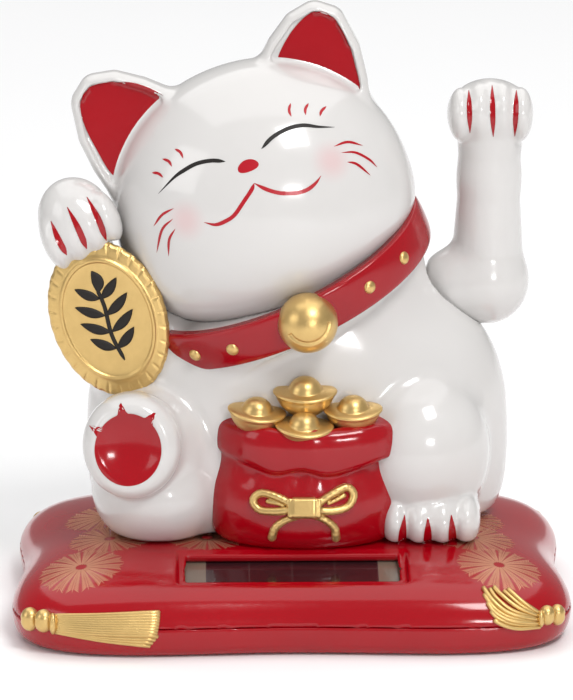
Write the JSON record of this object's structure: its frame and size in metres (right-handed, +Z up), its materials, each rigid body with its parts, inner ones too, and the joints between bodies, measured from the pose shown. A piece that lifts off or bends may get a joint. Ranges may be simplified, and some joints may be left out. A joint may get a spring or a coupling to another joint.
{
  "type": "solar waving cat figurine",
  "caption": "Seated cat figurine on a cushion base with a solar cell, a coil and magnet drive, and one raised arm that swings forward and back.",
  "frame": {"origin": "centre of the cushion base's underside", "axes": "+Z up, the cat faces -Y, +X towards its waving arm"},
  "size_m": [0.1012, 0.0704, 0.1105],
  "materials": {
    "white_shell": "glossy lacquered white",
    "red_base": "glossy red",
    "red_trim": "glossy red lacquer",
    "gold_trim": "satin gold paint",
    "solar_dark": "dark amorphous solar glass",
    "board_green": "solder mask",
    "steel": "plated steel",
    "magnet_metal": "nickel plated magnet",
    "copper_wire": "enamelled copper wire",
    "wire_jacket": "insulated lead",
    "black_part": "moulded epoxy",
    "capacitor_sleeve": "shrink sleeve",
    "white_nylon": "natural plastic"
  },
  "bodies": {
    "figure": {"base_lower_shell": "red_base", "base_upper_shell": "red_base", "base_screws": "steel", "body_screws": "steel", "bracket_screws": "steel", "solar_cell": "solar_dark", "solar_leads": "wire_jacket", "circuit_board": "board_green", "capacitor": "capacitor_sleeve", "driver_chip": "black_part", "coil_bobbin": "white_nylon", "coil_winding": "copper_wire", "coil_leads": "copper_wire", "mechanism_bracket": "white_nylon", "body_front_shell": "white_shell", "body_rear_shell": "white_shell", "head_front_shell": "white_shell", "head_rear_shell": "white_shell", "collar": "red_trim", "collar_studs": "gold_trim", "bell": "gold_trim", "coin": "gold_trim", "money_bag": "red_trim", "bag_bow": "gold_trim", "ingot_back": "gold_trim", "ingot_left": "gold_trim", "ingot_right": "gold_trim", "ingot_front": "gold_trim", "tassel_front_left": "gold_trim", "tassel_front_right": "gold_trim", "tassel_rear_left": "gold_trim", "tassel_rear_right": "gold_trim"},
    "waving_arm": {"arm_front_half": "white_shell", "arm_rear_half": "white_shell", "arm_plug": "white_nylon", "axle_pin": "steel", "rocker": "white_nylon", "magnet": "magnet_metal"}
  },
  "joints": [
    {"name": "arm_swing", "type": "hinge", "parent": "figure", "child": "waving_arm", "pos_m": [0.02, 0.012, 0.057], "axis": [1, 0, 0], "range_deg": [-14, 16]}
  ]
}
